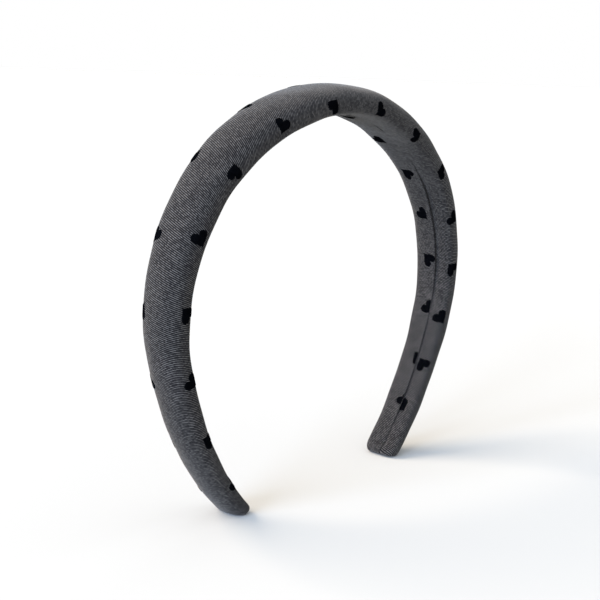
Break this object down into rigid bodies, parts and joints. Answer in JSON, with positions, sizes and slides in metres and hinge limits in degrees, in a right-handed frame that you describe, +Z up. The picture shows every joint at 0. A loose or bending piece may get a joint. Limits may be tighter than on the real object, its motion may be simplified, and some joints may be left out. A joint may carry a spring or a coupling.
{
  "type": "padded heart headband",
  "caption": "Padded horseshoe-shaped hair band in grey twill cloth with flocked hearts, widest at the top and tapering to blunt tips, that grips the head to hold hair back.",
  "frame": {"origin": "on the surface that the band stands on, midway between its two tips", "axes": "+Z up to the top of the band, +X across the head to the right as seen from the front, -Y towards the wearer's face"},
  "size_m": [0.15, 0.0242, 0.1345],
  "materials": {
    "cloth": "matt grey twill, light threads on dark",
    "flock": "short velvety black flock"
  },
  "bodies": {
    "root": {"padded_band": "cloth", "heart_front_01": "flock", "heart_front_02": "flock", "heart_front_03": "flock", "heart_front_04": "flock", "heart_front_05": "flock", "heart_front_06": "flock", "heart_front_07": "flock", "heart_front_08": "flock", "heart_front_09": "flock", "heart_front_10": "flock", "heart_front_11": "flock", "heart_front_12": "flock", "heart_front_13": "flock", "heart_front_14": "flock", "heart_front_15": "flock", "heart_front_16": "flock", "heart_back_01": "flock", "heart_back_02": "flock", "heart_back_03": "flock", "heart_back_04": "flock", "heart_back_05": "flock", "heart_back_06": "flock", "heart_back_07": "flock", "heart_back_08": "flock", "heart_back_09": "flock", "heart_back_10": "flock", "heart_back_11": "flock", "heart_back_12": "flock", "heart_back_13": "flock", "heart_back_14": "flock", "heart_back_15": "flock", "heart_back_16": "flock", "heart_inside_04": "flock", "heart_inside_05": "flock", "heart_inside_06": "flock", "heart_inside_07": "flock", "heart_inside_08": "flock", "heart_inside_09": "flock", "heart_inside_10": "flock", "heart_inside_11": "flock", "heart_inside_12": "flock", "heart_inside_13": "flock", "heart_inside_14": "flock", "heart_inside_15": "flock", "heart_inside_16": "flock"}
  },
  "joints": []
}
